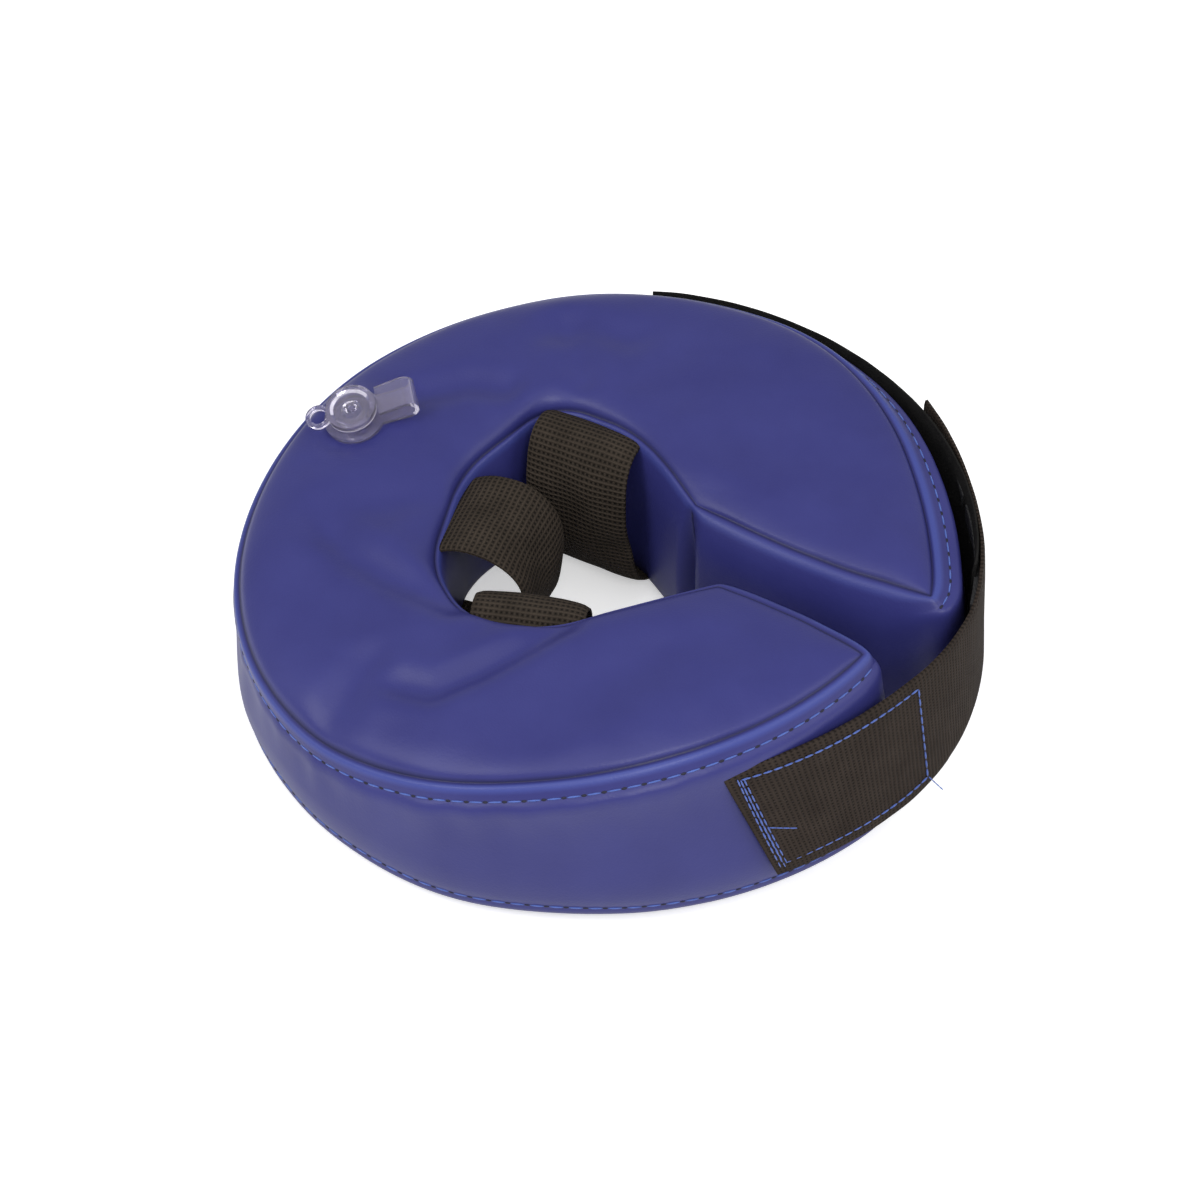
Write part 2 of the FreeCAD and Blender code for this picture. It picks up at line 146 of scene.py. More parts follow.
# Round the rim from the strap arm's corner to the loop arm's: compass degrees, then the top
# seam's radius and height, how steeply the hem falls, the widest radius, the crown's rise and
# the wall's lean. NECK_HEIGHTS has only the neck seam's height.
SEAM_RADIUS, SEAM_HIGH, HEM_TILT, WIDEST, CROWN, LEAN = range(1, 7)
RIM_TABLE = [
    (-14, 82.5, 58.5, 48, 97.0, 3.4, 11), (-20, 82.5, 58.5, 50, 96.3, 3.4, 11),
    (-30, 83, 58.5, 50, 95.0, 3.6, 11), (-42, 84, 58, 48, 94.2, 3.8, 11),
    (-50, 84.8, 57, 45, 94.0, 4.0, 10), (-60, 86, 55, 42, 94.0, 4.2, 8),
    (-70, 87.5, 52.5, 41, 94.2, 4.4, 7), (-80, 89.5, 49.5, 44, 95.8, 4.6, 5),
    (-90, 92, 46, 48, 97.8, 5.0, 4), (-100, 93.2, 41.5, 55, 98.8, 6.2, 4),
    (-110, 95, 38.2, 64, 99.4, 7.0, 4), (-120, 97, 36.3, 72, 100.2, 7.2, 4),
    (-135, 98.6, 37, 78, 101.4, 7.0, 4), (-150, 98.6, 39.5, 74, 101.4, 6.5, 4),
    (-165, 97.4, 42, 66, 100.2, 6.5, 4), (-178, 96.6, 43.5, 60, 99.4, 6.5, 4),
    (-200, 96.2, 46.5, 56, 99.4, 5.6, 4), (-220, 95.2, 49, 54, 99.0, 5.2, 4),
    (-240, 94.6, 51, 53, 98.6, 5.2, 4), (-254, 92.4, 53.6, 55, 97.5, 5.2, 4),
    (-270, 91.2, 55, 55, 97.4, 5.0, 4), (-280, 90.6, 55.8, 50, 97.4, 5.0, 4),
    (-295, 88.8, 55.5, 38, 97.4, 4.6, 4), (-310, 86.0, 54, 20, 97.4, 4.2, 4),
    (-325, 84.2, 52, 10, 97.4, 4.2, 4), (-340, 85, 51, 9, 97.4, 4.2, 4),
    (-352, 88, 51.5, 13, 97.4, 4.0, 4)]
NECK_HEIGHTS = [(-17, 59), (-69, 55.5), (-93, 52), (-112, 48.5), (-129, 46), (-151, 44.5), (-180, 45),
                (-193, 46), (-220, 48), (-253, 52), (-282, 53), (-299, 52), (-318, 51)]


def read_table(table, turn, column, spread=3):
    """One column of a table by compass degrees, averaged over five places `spread` degrees apart
    so that it has no kinks. The table may run up or down."""
    low, high = sorted((table[0][0], table[-1][0]))
    total = 0.0
    for k in range(-2, 3):
        at = min(max(turn + k * spread, low), high)
        a, b = next((a, b) for a, b in zip(table, table[1:]) if min(a[0], b[0]) <= at <= max(a[0], b[0]))
        total += a[column] + (at - a[0]) / (b[0] - a[0]) * (b[column] - a[column])
    return total / 5


def along(points, step=0.5):
    """The polyline as evenly spaced points, about `step` mm apart, and its length."""
    lengths = [hypot(b[0] - a[0], b[1] - a[1]) for a, b in zip(points, points[1:])]
    total = sum(lengths)
    count = int(total / step)
    spaced, leg, passed = [], 0, 0.0
    for k in range(count + 1):
        reach = total * k / count
        while leg < len(lengths) - 1 and passed + lengths[leg] < reach:
            passed += lengths[leg]
            leg += 1
        t = (reach - passed) / lengths[leg]
        a, b = points[leg], points[leg + 1]
        spaced.append((a[0] + t * (b[0] - a[0]), a[1] + t * (b[1] - a[1])))
    return spaced, total


def rounded(corners, cut):
    """The polyline with each inner corner turned into a small curve that starts `cut` mm off."""
    path = [corners[0]]
    for before, corner, after in zip(corners, corners[1:], corners[2:]):
        ends = []
        for other in (before, after):
            reach = hypot(other[0] - corner[0], other[1] - corner[1])
            t = min(cut / reach, 0.45)
            ends.append((corner[0] + t * (other[0] - corner[0]), corner[1] + t * (other[1] - corner[1])))
        for k in range(9):
            t = k / 8
            path.append(tuple((1 - t) ** 2 * ends[0][n] + 2 * t * (1 - t) * corner[n] + t * t * ends[1][n]
                              for n in (0, 1)))
    return path + [corners[-1]]


neck_path, neck_length = along(rounded(NECK, NECK_ROUNDING))


@lru_cache(maxsize=None)
def neck_point(share, inset=NECK_INSET):
    """A point `share` of the way along the neck seam, moved `inset` mm into the cushion."""
    trim = inset / neck_length
    place = (trim + share * (1 - 2 * trim)) * (len(neck_path) - 1)
    k = min(int(place), len(neck_path) - 2)
    a, b = neck_path[k], neck_path[k + 1]
    t = place - k
    run = hypot(b[0] - a[0], b[1] - a[1])
    side = (-(b[1] - a[1]) / run, (b[0] - a[0]) / run)
    return (a[0] + t * (b[0] - a[0]) + inset * side[0], a[1] + t * (b[1] - a[1]) + inset * side[1])


@lru_cache(maxsize=None)
def neck_height(share):
    """Height of the neck seam. Past the back, its turns go on below -180 degrees."""
    x, y = neck_point(share)
    turn = degrees(atan2(y, x))
    return read_table(NECK_HEIGHTS, turn - 360 if turn > 0 and share > 0.3 else turn, 1)


def rim_turn(share):
    """The compass degrees of a point `share` of the way round the rim."""
    first, last = STRAP_CORNER_TURN - SEAM_TURN_IN, LOOP_CORNER_TURN - 360 + SEAM_TURN_IN
    return first + share * (last - first)


def polar(radius, turn):
    """A point in plan, by its distance from the middle and its compass degrees."""
    return radius * cos(radians(turn)), radius * sin(radians(turn))


@lru_cache(maxsize=None)
def rim_point(share, inset=0.0):
    """A point `share` of the way along the top seam's outside, moved `inset` mm inwards."""
    turn = rim_turn(share)
    return polar(read_table(RIM_TABLE, turn, SEAM_RADIUS) - inset, turn)


@lru_cache(maxsize=None)
def rim_height(share):
    """Height of the top seam at the rim, which waves a little where the cloth is gathered."""
    turn = radians(rim_turn(share))
    wave = 0.5 * noise.noise(Vector((3.1 * cos(turn), 3.1 * sin(turn), 0.4)))
    return read_table(RIM_TABLE, degrees(turn), SEAM_HIGH) + wave


@lru_cache(maxsize=None)
def crown_rise(share):
    return read_table(RIM_TABLE, rim_turn(share), CROWN)


def panel_width(share):
    """From the neck seam to the rim's seam, mm."""
    a, b = neck_point(share), rim_point(share)
    return hypot(b[0] - a[0], b[1] - a[1])


FULLNESS = 2.3                               # 2 puffs a panel up as a quarter circle, more is fuller


def swell(distance, ramp):
    """How far a puffed panel has risen, 0 at its seam and 1 from `ramp` mm inwards."""
    t = min(max(distance / ramp, 0.0), 1.0)
    return (1 - (1 - t) ** FULLNESS) ** (1 / FULLNESS)


# Soft folds pressed into the top: points in plan, half width and depth, all mm.
FOLDS = [
    ([(-27, -70), (-17, -70), (-8, -61), (0, -50), (6, -40)], 4.0, 2.2),
    ([(-66, -30), (-56, -35), (-44, -38), (-33, -40), (-26, -41)], 5.0, 2.4),
    ([(-42, -93), (-39, -80), (-37, -66)], 5.5, 1.5),
    ([(-72, -24), (-60, -15), (-50, -6)], 6.5, 1.4),
    ([(-68, 28), (-59, 36), (-49, 38)], 4.5, 1.8),
    ([(-47, 62), (-38, 68), (-24, 68)], 5.0, 1.3),
    ([(-30, 47), (-36, 58), (-45, 68)], 4.0, 1.2),
    ([(12, -76), (24, -62), (30, -46)], 9.0, 0.9),
]


def distance_to_path(x, y, points):
    """Distance in plan from a place to the nearest leg of a polyline."""
    best = 1e9
    for (ax, ay), (bx, by) in zip(points, points[1:]):
        run_x, run_y = bx - ax, by - ay
        t = ((x - ax) * run_x + (y - ay) * run_y) / (run_x ** 2 + run_y ** 2)
        t = min(max(t, 0.0), 1.0)
        best = min(best, hypot(x - ax - t * run_x, y - ay - t * run_y))
    return best


def fold_depth(x, y):
    """How deep the folds press in at a place. The cloth bulges up a little beside each."""
    depth = 0.0
    for points, width, deep in FOLDS:
        off = distance_to_path(x, y, points) / width
        depth += deep * (exp(-off ** 2) - 0.25 * exp(-(off - 1.8) ** 2))
    return depth


def row_share(row):
    """Rows stand closer together near the slit, where the panels turn down."""
    s = row / ROWS
    return s - 0.6 * sin(tau * s) / tau


def column_share(column):
    """Columns stand closer together near the seams."""
    return 0.25 * column / COLUMNS + 0.75 * (0.5 - 0.5 * cos(pi * column / COLUMNS))


def slit_side(neck_end, corner_turn, way):
    """The unit vector into the slit from one arm's end."""
    corner = polar(CORNER_RADIUS, corner_turn)
    run = hypot(corner[0] - neck_end[0], corner[1] - neck_end[1])
    return way * (corner[1] - neck_end[1]) / run, -way * (corner[0] - neck_end[0]) / run


STRAP_SIDE = slit_side(NECK[0], STRAP_CORNER_TURN, -1)
LOOP_SIDE = slit_side(NECK[-1], LOOP_CORNER_TURN, 1)
STRAP_BOW, LOOP_BOW, BOW_REACH = 1.2, 2.4, 16.0        # the ends belly out into the slit, mm


def plan_point(row, column):
    """A grid point of the top panel in plan, mm."""
    share, u = row_share(row), column_share(column)
    a, b = neck_point(share), rim_point(share)
    x, y = a[0] + u * (b[0] - a[0]), a[1] + u * (b[1] - a[1])
    for left, bow, side in ((share, STRAP_BOW, STRAP_SIDE), (1 - share, LOOP_BOW, LOOP_SIDE)):
        near = max(0.0, 1 - left * RIM_LENGTH / BOW_REACH)
        x += bow * near * sin(pi * u) * side[0]
        y += bow * near * sin(pi * u) * side[1]
    return x, y


@lru_cache(maxsize=None)
def bottom_plan(row, column):
    """A grid point of the bottom panel in plan, mm."""
    share, u = row_share(row), column_share(column)
    turn = rim_turn(share)
    a, b = neck_point(share), polar(read_table(RIM_TABLE, turn, WIDEST) - BOTTOM_INSET, turn)
    return a[0] + u * (b[0] - a[0]), a[1] + u * (b[1] - a[1])


# The valve's flange rests on the panel, which it holds up and tips towards the front.
VALVE_PLACE, VALVE_SEAT, SEAT_RADIUS = (-81.5, 11.0), 50.7, 11.5
VALVE_LEAN, VALVE_HEADING = tan(radians(18)), radians(-100)
NECK_RAMP, RIM_RAMP, END_RAMP = 15, 19, 17   # from each seam to the full crown, mm
FLAT_EDGE = 12                               # folds and ripples fade this close to a seam, mm


def top_height(row, column):
    """Height of the top panel: seam height at its edge, then a full, softly folded crown."""
    x, y = plan_point(row, column)
    share, u = row_share(row), column_share(column)
    width = panel_width(share)
    off_strap_end, off_loop_end = (left * RING_TURN * (HOLE_RADIUS + RING_WIDTH * u)
                                   for left in (share, 1 - share))
    crown = (swell(u * width, NECK_RAMP) * swell((1 - u) * width, RIM_RAMP)
             * swell(off_strap_end, END_RAMP) * swell(off_loop_end, END_RAMP))
    seam = (1 - u) * neck_height(share) + u * rim_height(share)
    edge_free = swell(u * width, FLAT_EDGE) * swell((1 - u) * width, FLAT_EDGE)
    ripple = 0.7 * noise.noise(Vector((x / 26, y / 26, 1.7)))
    ripple += 0.25 * noise.noise(Vector((x / 9, y / 9, 4.2)))
    high = seam + crown_rise(share) * crown + edge_free * (ripple - fold_depth(x, y))
    off_x, off_y = x - VALVE_PLACE[0], y - VALVE_PLACE[1]
    seat = VALVE_SEAT - VALVE_LEAN * (off_x * cos(VALVE_HEADING) + off_y * sin(VALVE_HEADING))
    hold = exp(-(hypot(off_x, off_y) / SEAT_RADIUS) ** 4) * swell((1 - u) * width, 5)
    return high + hold * (seat - high)


# The hem, as mm along it from the seam and mm off it, and the way down from its end to the
# widest level, as shares; then the foot of the wall as mm inside the widest and mm high.
HEM = [(0.2, 0.5), (0.7, 1.2), (1.7, 1.35), (3.2, 0.9), (4.4, 0.55), (4.8, 0.2), (5.2, 0.5), (6.8, 0.6),
       (8.2, 0.2)]
WALL_SHARES = (0.16, 0.38, 0.62, 0.84, 1.0)
FOOT = [(0.3, 12.0), (0.9, 9.2), (1.7, 7.7), (1.2, 6.3), (2.1, 4.2), (3.7, 2.9)]
WIDEST_HIGH = 17.0
HEM_EDGE = (1, 2)                            # the places of the hem's folded edge
ROLLED_FROM = 0.6                            # share of the strap arm's end where its hem rolls over and gets the hem's painted highlight
TOP_STITCH, FOOT_STITCH = 5, 16              # places of the two stitch lines in that profile
STRAP_COVERS, PILE_COVERS = -49, (-346, -250)        # compass degrees where they lie on the wall
# The hole's and the ends' bands from the top seam down: mm outwards from the seam, then mm below
# the seam or, where the third value is 1, share of the seam's height above the table.
NECK_PROFILE = [(0.5, -0.5, 0), (1.1, -0.2, 0), (1.6, 0.8, 0), (2.0, 2.2, 0), (2.4, 4.0, 0),
                (2.7, 5.6, 0), (2.9, 7.0, 0), (3.1, 8.6, 0), (3.3, 10.5, 0), (3.5, 0.72, 1),
                (3.6, 0.58, 1), (3.6, 0.45, 1), (3.4, 0.33, 1), (3.1, 0.25, 1), (2.8, 0.20, 1),
                (2.5, 0.165, 1), (2.1, 0.13, 1), (1.6, 0.10, 1), (1.0, 0.07, 1), (0.4, 0.05, 1)]
BOTTOM_SEAM = 2.4                            # height of the bottom panel's seam, mm
BOTTOM_RAMP, BOTTOM_END_RAMP = 9, 7          # from its seams in to where the bottom lies flat, mm
CORNER_SEAM, CORNER_SEAM_WIDTH = 5.0, 2.2    # of the upright seams where hole and ends meet, mm
END_PUFF_RAMP = 16                           # from an end's upright edges to its full belly, mm
TOP_SEAM_SHADE, BOTTOM_SEAM_SHADE = 1.0, 0.8          # above 0 is painted shade, dark as down in a seam, and below 0 is a painted highlight, pale as on a lit edge
HEM_HIGHLIGHT, EDGE_HIGHLIGHT = -0.75, -0.35                  # and below 0 is pale, as on a rubbed edge


@lru_cache(maxsize=None)
def rim_profile(turn, seam):
    """The outer band from its seam down, as (mm outwards from the seam, mm high) pairs."""
    radius, tilt, widest, lean = (read_table(RIM_TABLE, turn, column)
                                  for column in (SEAM_RADIUS, HEM_TILT, WIDEST, LEAN))
    fall = radians(tilt)
    profile = [(s * cos(fall) + h * sin(fall), seam - s * sin(fall) + h * cos(fall)) for s, h in HEM]
    end_out, end_z = profile[-1]
    for share in WALL_SHARES:
        z = end_z + share * (WIDEST_HIGH - end_z)
        wall = widest - (z - WIDEST_HIGH) * tan(radians(lean)) - radius
        profile.append((end_out + (wall - end_out) * (1 - (1 - share) ** 2.6), z))
    return profile + [(widest - radius - inside, z) for inside, z in FOOT]


def neck_profile(seam):
    """The hole's and the ends' bands, as (mm outwards from the seam, mm high) pairs."""
    return [(out, seam * drop if is_share else seam - drop) for out, drop, is_share in NECK_PROFILE]


CORNER_SHARE, CORNER_SOFT = 0.8, 2           # each band's part in the rim's corners, and mm to them
RIM_REACH, END_REACH = 5, 9                  # how far each band's shape runs on past them, mm


def corner_blend(kind, on_rim, share, u):
    """How much of the rim band's and of the end band's shape a place on the edge takes."""
    if kind == "inner":
        return 0.0, 1.0
    if on_rim:
        off_corner = min(share, 1 - share) * RIM_LENGTH
        return (1 - (1 - CORNER_SHARE) * exp(-off_corner / CORNER_SOFT),
                CORNER_SHARE * max(0.0, 1 - off_corner / RIM_REACH) ** 1.5)
    off_corner = (1 - u) * END_RUN
    return (CORNER_SHARE * max(0.0, 1 - off_corner / END_REACH) ** 1.3,
            1 - (1 - CORNER_SHARE) * exp(-off_corner / CORNER_SOFT))


def wall_pucker(x, y, z, turn, seam, slack):
    """How far the outer wall stands off, mm: short puckers below the top-stitching and slow
    ripples under them, which webbing or tape on the wall holds nearly flat."""
    short = noise.noise(Vector((x / 5.5, y / 5.5, z / 30))) * exp(-((seam - 9 - z) / 6.0) ** 2)
    slow = slack * noise.noise(Vector((x / 22, y / 22, z / 22)))
    held = turn > STRAP_COVERS or PILE_COVERS[0] < turn < PILE_COVERS[1]
    return (0.9 * short + 0.8 * slow) * (0.15 if held else 1.0)


def make_object(name, points, faces):
    """An object at the origin from points in metres and faces."""
    mesh = bpy.data.meshes.new(name)
    mesh.from_pydata(points, [], faces)
    made = bpy.data.objects.new(name, mesh)
    bpy.context.collection.objects.link(made)
    return made


def turn_faces_out(obj):
    """Leaves the object selected, with every face pointing outwards."""
    bpy.ops.object.select_all(action="DESELECT")
    obj.select_set(True)
    bpy.context.view_layer.objects.active = obj
    bpy.ops.object.mode_set(mode="EDIT")
    bpy.ops.mesh.select_all(action="SELECT")
    bpy.ops.mesh.normals_make_consistent(inside=False)
    bpy.ops.object.mode_set(mode="OBJECT")


def build_skin(name, panel_of):
    """The whole closed skin as one mesh. Each face's material index says which panel it is, and
    its point attribute is above 0 for painted shade in a seam and below 0 for a painted highlight."""
    points, faces, panels, index = [], [], [], {}

    def add_point(key, x, y, z):
        if key not in index:
            index[key] = len(points)
            points.append((x * MM, y * MM, max(z, 0.05) * MM))
        return index[key]

    def add_face(panel, *corners):
        faces.append(corners)
        panels.append(panel)

    for i in range(ROWS + 1):
        for j in range(COLUMNS + 1):
            x, y = plan_point(i, j)
            add_point(("top", i, j), x, y, top_height(i, j))
            share, u = row_share(i), column_share(j)
            x, y = bottom_plan(i, j)
            width = panel_width(share)
            flat = (swell(u * width, BOTTOM_RAMP) * swell((1 - u) * width, BOTTOM_RAMP)
                    * swell(share * NECK_RUN, BOTTOM_END_RAMP)
                    * swell((1 - share) * NECK_RUN, BOTTOM_END_RAMP))
            add_point(("bottom", i, j), x, y, BOTTOM_SEAM * (1 - flat))
    for i in range(ROWS):
        half = "strap" if row_share(i) < SPLIT_SHARE else "loop"
        for j in range(COLUMNS):
            add_face(panel_of["top", half], index["top", i, j], index["top", i + 1, j],
                     index["top", i + 1, j + 1], index["top", i, j + 1])
            add_face(panel_of["bottom", half], index["bottom", i, j], index["bottom", i, j + 1],
                     index["bottom", i + 1, j + 1], index["bottom", i + 1, j])

    # The band round the edge: neck, loop arm's end, rim, strap arm's end, back to the start.
    edge = ([(i, 0, "inner") for i in range(ROWS)] + [(ROWS, j, "end") for j in range(COLUMNS)]
            + [(i, COLUMNS, "outer") for i in range(ROWS, 0, -1)]
            + [(0, j, "end") for j in range(COLUMNS, 0, -1)])
    count = len(edge)
    plan = [plan_point(i, j) for i, j, kind in edge]
    for n, (i, j, kind) in enumerate(edge):
        x, y = plan[n]
        before, after = plan[n - 1], plan[(n + 1) % count]
        run = hypot(after[0] - before[0], after[1] - before[1])
        side = (after[1] - before[1]) / run, -(after[0] - before[0]) / run
        reach = hypot(x, y)
        seam = points[index["top", i, j]][2] / MM
        share, u = row_share(i), column_share(j)
        turn = rim_turn(share)
        on_rim = j == COLUMNS
        rimness, endness = corner_blend(kind, on_rim, share, u)
        off_neck_corner = min(share, 1 - share) * NECK_RUN if kind == "inner" else u * RING_WIDTH
        puff = 1.0
        if on_rim:
            side = STRAP_SIDE if share < 0.5 else LOOP_SIDE
        elif kind == "end":
            puff += swell(u * END_RUN, END_PUFF_RAMP) * swell((1 - u) * RING_WIDTH, END_PUFF_RAMP)
        foot = bottom_plan(i, j)
        rim_shape, neck_shape = rim_profile(turn, seam), neck_profile(seam)
        mix = min(1.0, rimness / CORNER_SHARE)
        for k in range(len(NECK_PROFILE)):
            (rim_out, rim_z), (neck_out, neck_z) = rim_shape[k], neck_shape[k]
            z = mix * rim_z + (1 - mix) * neck_z
            slack = sin(pi * min(max(z / seam, 0), 1))
            if kind == "outer" and k > TOP_STITCH:
                rim_out += wall_pucker(x, y, z, turn, seam, slack)
            down = (1 - mix) * max(0.0, 1 - z / seam)            # slides the foot to the bottom's edge
            neck_out -= CORNER_SEAM * slack * exp(-(off_neck_corner / CORNER_SEAM_WIDTH) ** 2)
            out = endness * neck_out * puff
            add_point(("band", n, k),
                      x + out * side[0] + rimness * rim_out * x / reach + down * (foot[0] - x),
                      y + out * side[1] + rimness * rim_out * y / reach + down * (foot[1] - y), z)

    def down_the_band(n):
        i, j, kind = edge[n]
        return [index["top", i, j], *(index["band", n, k] for k in range(len(NECK_PROFILE))),
                index["bottom", i, j]]

    for n, (i, j, kind) in enumerate(edge):
        m = (n + 1) % count
        strap_half = i == 0 if kind == "end" else row_share(min(i, edge[m][0])) < SPLIT_SHARE
        panel = panel_of[kind, "strap" if strap_half else "loop"]
        left, right = down_the_band(n), down_the_band(m)
        for k in range(len(left) - 1):
            add_face(panel, left[k], right[k], right[k + 1], left[k + 1])
    skin = make_object(name, points, faces)
    skin.data.polygons.foreach_set("material_index", panels)
    painted_light_values = [0.0] * len(points)
    for n, (i, j, kind) in enumerate(edge):
        # Painted shade along the top and bottom seams, and a painted highlight on the hem's folded edge and
        # the other top edges.
        painted_light_values[index["top", i, j]] = TOP_SEAM_SHADE
        painted_light_values[index["bottom", i, j]] = BOTTOM_SEAM_SHADE
        for k in HEM_EDGE:
            rolled = kind == "end" and i == 0 and column_share(j) > ROLLED_FROM
            painted_light_values[index["band", n, k]] = HEM_HIGHLIGHT if kind == "outer" or rolled else EDGE_HIGHLIGHT
        # Painted shade down the two upright seams where the hole's band meets the ends.
        if (i, j) in ((ROWS, 0), (0, 0)):
            for k in range(HEM_EDGE[-1] + 1, len(NECK_PROFILE)):
                painted_light_values[index["band", n, k]] = TOP_SEAM_SHADE
    skin.data.attributes.new("painted_shade_and_highlight", "FLOAT", "POINT").data.foreach_set("value", painted_light_values)
    return skin, index, edge


PANEL_NAMES = ["cover_top_loop_half", "cover_top_strap_half", "cover_outer_loop_half",
               "cover_outer_strap_half", "cover_inner_loop_half", "cover_inner_strap_half",
               "cover_end_loop_arm", "cover_end_strap_arm", "cover_bottom_loop_half",
               "cover_bottom_strap_half"]
PANEL_OF = {(kind, half): 2 * n + m for n, kind in enumerate(["top", "outer", "inner", "end", "bottom"])
            for m, half in enumerate(["loop", "strap"])}
cover, cover_index, cover_edge = build_skin("cover_whole", PANEL_OF)
turn_faces_out(cover)
rounding = cover.modifiers.new("rounding", "SUBSURF")
rounding.levels = 1
bpy.ops.object.modifier_apply(modifier=rounding.name)

# One panel at a time: the whole skin is rounded once, then taken apart along its seams, and each
# panel keeps the whole skin's normals, so that nothing shows where the two halves meet.
def take_panel(source, panel, name):
    """A copy of the faces with that material index, with the source's own vertex normals."""
    mesh = source.data
    index, points, normals, faces, painted_light_values = {}, [], [], [], []
    kept = mesh.attributes["painted_shade_and_highlight"].data
    for face in mesh.polygons:
        if face.material_index != panel:
            continue
        corners = []
        for v in face.vertices:
            if v not in index:
                index[v] = len(points)
                points.append(mesh.vertices[v].co.copy())
                normals.append(mesh.vertices[v].normal.copy())
                painted_light_values.append(kept[v].value)
            corners.append(index[v])
        faces.append(corners)
    taken = make_object(name, points, faces)
    taken.data.polygons.foreach_set("use_smooth", [True] * len(faces))
    taken.data.normals_split_custom_set_from_vertices(normals)
    taken.data.attributes.new("painted_shade_and_highlight", "FLOAT", "POINT").data.foreach_set("value", painted_light_values)
    return taken


def socket(group, name, kind, value=None, way="INPUT"):
    """A socket of a node group, with its default."""
    made = group.interface.new_socket(name=name, in_out=way, socket_type="NodeSocket" + kind)
    if value is not None:
        made.default_value = value


def maths(nodes, links, operation, a, b=None):
    """A math node on two inputs, each a socket or a number, and its output."""
    node = nodes.new("ShaderNodeMath")
    node.operation = operation
    for k, value in enumerate((a, b)):
        if value is None:
            continue
        if isinstance(value, (int, float)):
            node.inputs[k].default_value = value
        else:
            links.new(value, node.inputs[k])
    return node.outputs[0]


def mixed(nodes, links, share, first, second):
    """A colour mix; each colour is a socket or a triple of numbers."""
    node = nodes.new("ShaderNodeMix")
    node.data_type = "RGBA"
    links.new(share, node.inputs["Factor"])
    for name, value in (("A", first), ("B", second)):
        if isinstance(value, tuple):
            node.inputs[name].default_value = (*value, 1)
        else:
            links.new(value, node.inputs[name])
    return node.outputs["Result"]


# Grain: fine pores plus a slower mottle, for coated cloth, plastic and rubber.
grain = bpy.data.node_groups.new("grain", "ShaderNodeTree")
socket(grain, "Vector", "Vector")
socket(grain, "Pores", "Float", 1400.0)
socket(grain, "Mottle", "Float", 60.0)
socket(grain, "Height", "Float", way="OUTPUT")
socket(grain, "Cloud", "Float", way="OUTPUT")
nodes, links = grain.nodes, grain.links
taken, given = nodes.new("NodeGroupInput"), nodes.new("NodeGroupOutput")
pores = nodes.new("ShaderNodeTexVoronoi")
links.new(taken.outputs["Vector"], pores.inputs["Vector"])
links.new(taken.outputs["Pores"], pores.inputs["Scale"])
fuzz = nodes.new("ShaderNodeTexNoise")
fuzz.inputs["Detail"].default_value = 3
links.new(taken.outputs["Vector"], fuzz.inputs["Vector"])
links.new(taken.outputs["Pores"], fuzz.inputs["Scale"])
cloud = nodes.new("ShaderNodeTexNoise")
cloud.inputs["Detail"].default_value = 4
links.new(taken.outputs["Vector"], cloud.inputs["Vector"])
links.new(taken.outputs["Mottle"], cloud.inputs["Scale"])
links.new(maths(nodes, links, "ADD", maths(nodes, links, "MULTIPLY", pores.outputs["Distance"], 0.7),
                fuzz.outputs["Fac"]), given.inputs["Height"])
links.new(cloud.outputs["Fac"], given.inputs["Cloud"])


def use_grain(nodes, links, pores_scale, mottle_scale):
    """The grain group on object coordinates."""
    place = nodes.new("ShaderNodeTexCoord")
    node = nodes.new("ShaderNodeGroup")
    node.node_tree = grain
    node.inputs["Pores"].default_value = pores_scale
    node.inputs["Mottle"].default_value = mottle_scale
    links.new(place.outputs["Object"], node.inputs["Vector"])
    return node


def use_bump(nodes, links, shader, height, strength, distance):
    """Bumps of `distance` metres on the shader's surface."""
    bump_node = nodes.new("ShaderNodeBump")
    bump_node.inputs["Strength"].default_value = strength
    bump_node.inputs["Distance"].default_value = distance
    links.new(height, bump_node.inputs["Height"])
    links.new(bump_node.outputs["Normal"], shader.inputs["Normal"])


vinyl, nodes, links, shader = new_material("blue_vinyl")
cloth_grain = use_grain(nodes, links, 1500, 45)
blue = mixed(nodes, links, cloth_grain.outputs["Cloud"], (0.025, 0.026, 0.142), (0.040, 0.043, 0.196))
painted_light_node = nodes.new("ShaderNodeAttribute")
painted_light_node.attribute_name = "painted_shade_and_highlight"
SEAM_DARKENS, EDGE_LIGHTENS = 0.85, 0.55     # shares of the painted shade's near-black blue and the painted highlight's paler blue there
painted_seam_shade = maths(nodes, links, "MULTIPLY", maths(nodes, links, "MAXIMUM", painted_light_node.outputs["Fac"], 0.0),
                SEAM_DARKENS)
painted_edge_highlight = maths(nodes, links, "MULTIPLY", maths(nodes, links, "MINIMUM", painted_light_node.outputs["Fac"], 0.0),
                -EDGE_LIGHTENS)
# Painted shade: down in the seams the blue is mixed towards near black.
blue = mixed(nodes, links, painted_seam_shade, blue, (0.006, 0.006, 0.035))
# Painted highlight: on the hem's folded edge and the other top edges the blue is mixed towards a brighter,
# paler blue.
links.new(mixed(nodes, links, painted_edge_highlight, blue, (0.070, 0.105, 0.40)), shader.inputs["Base Color"])
shader.inputs["Roughness"].default_value = 0.38
shader.inputs["Specular IOR Level"].default_value = 0.3
use_bump(nodes, links, shader, cloth_grain.outputs["Height"], 0.25, 0.00012)

